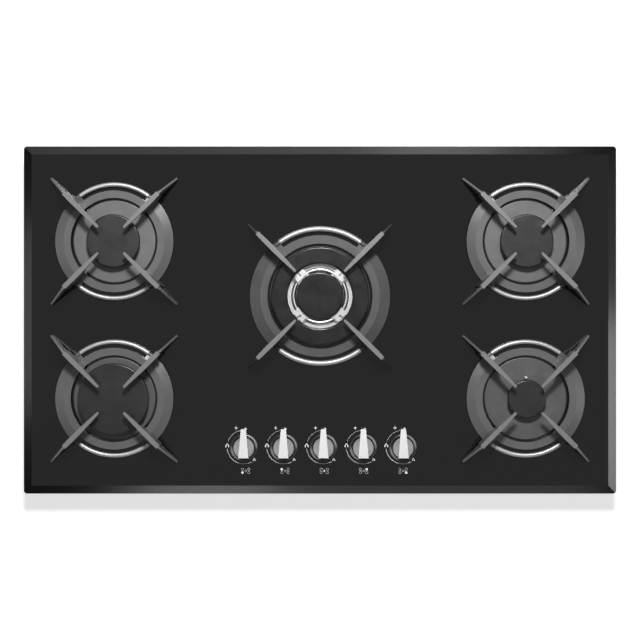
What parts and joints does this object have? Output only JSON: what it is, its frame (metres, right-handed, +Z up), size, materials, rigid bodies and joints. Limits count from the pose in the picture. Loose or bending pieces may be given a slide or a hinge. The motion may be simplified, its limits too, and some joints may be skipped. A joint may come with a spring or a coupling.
{
  "type": "gas cooktop",
  "caption": "Built-in gas cooktop: bevelled black glass over a steel tray, round burners under ring-shaped cast pan supports, and a front row of push-and-turn taps with pointer knobs.",
  "frame": {"origin": "middle of the tray's underside, at the bottom centre of the bounding box", "axes": "+X to the right along the glass's long side, +Y to the rear, +Z up"},
  "size_m": [0.87, 0.51, 0.105],
  "materials": {
    "black_glass": "polished, opaque black backing, bevelled edge",
    "foam": "closed-cell foam",
    "galvanised_steel": "galvanised, spangled",
    "grey_enamel_iron": "satin grey enamel over a fine cast grain",
    "black_rubber": "matt",
    "black_enamel": "matt black enamel with a glossy edge",
    "cast_aluminium": "bright cast",
    "satin_steel": "satin, round brushed",
    "satin_aluminium": "silver, disc satin and grip bright",
    "gloss_black": "gloss",
    "brass": "machined",
    "zinc_steel": "zinc plated",
    "white_ceramic": "glazed ceramic, opaque",
    "black_plastic": "moulded, fine grain",
    "tube_aluminium": "drawn tube",
    "lead_rubber": "silicone sleeve"
  },
  "bodies": {
    "root": {"bottom_tray": "galvanised_steel", "burner_cups": "cast_aluminium", "cable_gland": "black_plastic", "centre_drip_plate": "satin_steel", "cup_screws": "zinc_steel", "front_left_drip_plate": "satin_steel", "front_right_drip_plate": "satin_steel", "gas_manifold": "zinc_steel", "gas_pipes": "tube_aluminium", "glass_panel": "black_glass", "ignition_leads": "lead_rubber", "ignition_switches": "black_plastic", "injectors": "brass", "inlet_elbow": "brass", "knob_bezels": "gloss_black", "manifold_clips": "galvanised_steel", "pipe_nuts": "brass", "rear_left_drip_plate": "satin_steel", "rear_right_drip_plate": "satin_steel", "spark_electrodes": "white_ceramic", "spark_generator": "black_plastic", "support_rails": "galvanised_steel", "tap_bodies": "brass", "worktop_gasket": "foam"},
    "rear_left_support": {"rear_left_pan_support": "grey_enamel_iron", "rear_left_support_pads": "black_rubber"},
    "rear_left_crown": {"rear_left_burner_crown": "cast_aluminium"},
    "rear_left_cap": {"rear_left_burner_cap": "black_enamel"},
    "rear_right_support": {"rear_right_pan_support": "grey_enamel_iron", "rear_right_support_pads": "black_rubber"},
    "rear_right_crown": {"rear_right_burner_crown": "cast_aluminium"},
    "rear_right_cap": {"rear_right_burner_cap": "black_enamel"},
    "front_left_support": {"front_left_pan_support": "grey_enamel_iron", "front_left_support_pads": "black_rubber"},
    "front_left_crown": {"front_left_burner_crown": "cast_aluminium"},
    "front_left_cap": {"front_left_burner_cap": "black_enamel"},
    "front_right_support": {"front_right_pan_support": "grey_enamel_iron", "front_right_support_pads": "black_rubber"},
    "front_right_crown": {"front_right_burner_crown": "cast_aluminium"},
    "front_right_cap": {"front_right_burner_cap": "black_enamel"},
    "centre_support": {"centre_pan_support": "grey_enamel_iron", "centre_support_pads": "black_rubber"},
    "centre_crown": {"centre_burner_crown": "cast_aluminium"},
    "centre_cap": {"centre_burner_cap": "black_enamel"},
    "centre_ring_cap": {"centre_ring_cap": "black_enamel"},
    "front_left_plug": {"front_left_tap_plug": "brass"},
    "front_left_knob": {"front_left_knob": "satin_aluminium", "front_left_tap_stem": "zinc_steel"},
    "rear_left_plug": {"rear_left_tap_plug": "brass"},
    "rear_left_knob": {"rear_left_knob": "satin_aluminium", "rear_left_tap_stem": "zinc_steel"},
    "centre_plug": {"centre_tap_plug": "brass"},
    "centre_knob": {"centre_knob": "satin_aluminium", "centre_tap_stem": "zinc_steel"},
    "rear_right_plug": {"rear_right_tap_plug": "brass"},
    "rear_right_knob": {"rear_right_knob": "satin_aluminium", "rear_right_tap_stem": "zinc_steel"},
    "front_right_plug": {"front_right_tap_plug": "brass"},
    "front_right_knob": {"front_right_knob": "satin_aluminium", "front_right_tap_stem": "zinc_steel"}
  },
  "joints": [
    {"name": "rear_left_support_lift", "type": "slide", "parent": "root", "child": "rear_left_support", "axis": [0, 0, 1], "range_m": [0, 0.06]},
    {"name": "rear_left_crown_lift", "type": "slide", "parent": "root", "child": "rear_left_crown", "axis": [0, 0, 1], "range_m": [0, 0.0035]},
    {"name": "rear_left_cap_lift", "type": "slide", "parent": "rear_left_crown", "child": "rear_left_cap", "axis": [0, 0, 1], "range_m": [0, 0.004]},
    {"name": "rear_right_support_lift", "type": "slide", "parent": "root", "child": "rear_right_support", "axis": [0, 0, 1], "range_m": [0, 0.06]},
    {"name": "rear_right_crown_lift", "type": "slide", "parent": "root", "child": "rear_right_crown", "axis": [0, 0, 1], "range_m": [0, 0.0035]},
    {"name": "rear_right_cap_lift", "type": "slide", "parent": "rear_right_crown", "child": "rear_right_cap", "axis": [0, 0, 1], "range_m": [0, 0.004]},
    {"name": "front_left_support_lift", "type": "slide", "parent": "root", "child": "front_left_support", "axis": [0, 0, 1], "range_m": [0, 0.06]},
    {"name": "front_left_crown_lift", "type": "slide", "parent": "root", "child": "front_left_crown", "axis": [0, 0, 1], "range_m": [0, 0.0035]},
    {"name": "front_left_cap_lift", "type": "slide", "parent": "front_left_crown", "child": "front_left_cap", "axis": [0, 0, 1], "range_m": [0, 0.004]},
    {"name": "front_right_support_lift", "type": "slide", "parent": "root", "child": "front_right_support", "axis": [0, 0, 1], "range_m": [0, 0.06]},
    {"name": "front_right_crown_lift", "type": "slide", "parent": "root", "child": "front_right_crown", "axis": [0, 0, 1], "range_m": [0, 0.0035]},
    {"name": "front_right_cap_lift", "type": "slide", "parent": "front_right_crown", "child": "front_right_cap", "axis": [0, 0, 1], "range_m": [0, 0.004]},
    {"name": "centre_support_lift", "type": "slide", "parent": "root", "child": "centre_support", "axis": [0, 0, 1], "range_m": [0, 0.06]},
    {"name": "centre_crown_lift", "type": "slide", "parent": "root", "child": "centre_crown", "axis": [0, 0, 1], "range_m": [0, 0.0035]},
    {"name": "centre_cap_lift", "type": "slide", "parent": "centre_crown", "child": "centre_cap", "axis": [0, 0, 1], "range_m": [0, 0.004]},
    {"name": "centre_ring_cap_lift", "type": "slide", "parent": "centre_crown", "child": "centre_ring_cap", "axis": [0, 0, 1], "range_m": [0, 0.004]},
    {"name": "front_left_knob_turn", "type": "hinge", "parent": "root", "child": "front_left_plug", "pos_m": [-0.1116, -0.187, 0.03], "axis": [0, 0, 1], "range_deg": [0, 225]},
    {"name": "front_left_knob_press", "type": "slide", "parent": "front_left_plug", "child": "front_left_knob", "axis": [0, 0, -1], "range_m": [0, 0.004], "stiffness_N_per_m": 1500, "springref_m": -0.003},
    {"name": "rear_left_knob_turn", "type": "hinge", "parent": "root", "child": "rear_left_plug", "pos_m": [-0.0533, -0.187, 0.03], "axis": [0, 0, 1], "range_deg": [0, 225]},
    {"name": "rear_left_knob_press", "type": "slide", "parent": "rear_left_plug", "child": "rear_left_knob", "axis": [0, 0, -1], "range_m": [0, 0.004], "stiffness_N_per_m": 1500, "springref_m": -0.003},
    {"name": "centre_knob_turn", "type": "hinge", "parent": "root", "child": "centre_plug", "pos_m": [0.005, -0.187, 0.03], "axis": [0, 0, 1], "range_deg": [0, 225]},
    {"name": "centre_knob_press", "type": "slide", "parent": "centre_plug", "child": "centre_knob", "axis": [0, 0, -1], "range_m": [0, 0.004], "stiffness_N_per_m": 1500, "springref_m": -0.003},
    {"name": "rear_right_knob_turn", "type": "hinge", "parent": "root", "child": "rear_right_plug", "pos_m": [0.0633, -0.187, 0.03], "axis": [0, 0, 1], "range_deg": [0, 225]},
    {"name": "rear_right_knob_press", "type": "slide", "parent": "rear_right_plug", "child": "rear_right_knob", "axis": [0, 0, -1], "range_m": [0, 0.004], "stiffness_N_per_m": 1500, "springref_m": -0.003},
    {"name": "front_right_knob_turn", "type": "hinge", "parent": "root", "child": "front_right_plug", "pos_m": [0.1216, -0.187, 0.03], "axis": [0, 0, 1], "range_deg": [0, 225]},
    {"name": "front_right_knob_press", "type": "slide", "parent": "front_right_plug", "child": "front_right_knob", "axis": [0, 0, -1], "range_m": [0, 0.004], "stiffness_N_per_m": 1500, "springref_m": -0.003}
  ]
}
